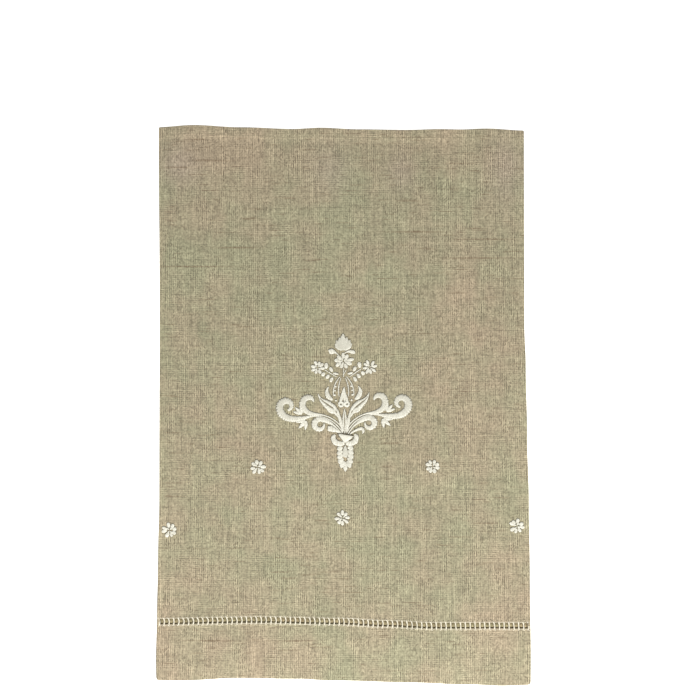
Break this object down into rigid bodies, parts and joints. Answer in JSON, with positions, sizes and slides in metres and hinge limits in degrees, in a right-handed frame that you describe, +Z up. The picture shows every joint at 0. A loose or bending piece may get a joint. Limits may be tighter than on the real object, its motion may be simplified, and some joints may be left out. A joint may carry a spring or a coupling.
{
  "type": "linen hand towel with a hemstitched end",
  "caption": "Flat linen guest towel with narrow side and top hems, a drawn-thread ladder above a deep folded hem, an embroidered scroll spray and small flowers.",
  "frame": {"origin": "under the middle of the towel, on the surface that it lies on", "axes": "+X across the towel to its right, +Y from the deep hem to the top edge, +Z up from the surface, out of the embroidered face"},
  "size_m": [0.3618, 0.5404, 0.0046],
  "materials": {
    "natural_linen": "matt plain-woven natural linen",
    "ivory_thread": "soft sheen twisted embroidery thread"
  },
  "bodies": {
    "root": {"linen_cloth": "natural_linen"}
  },
  "joints": []
}
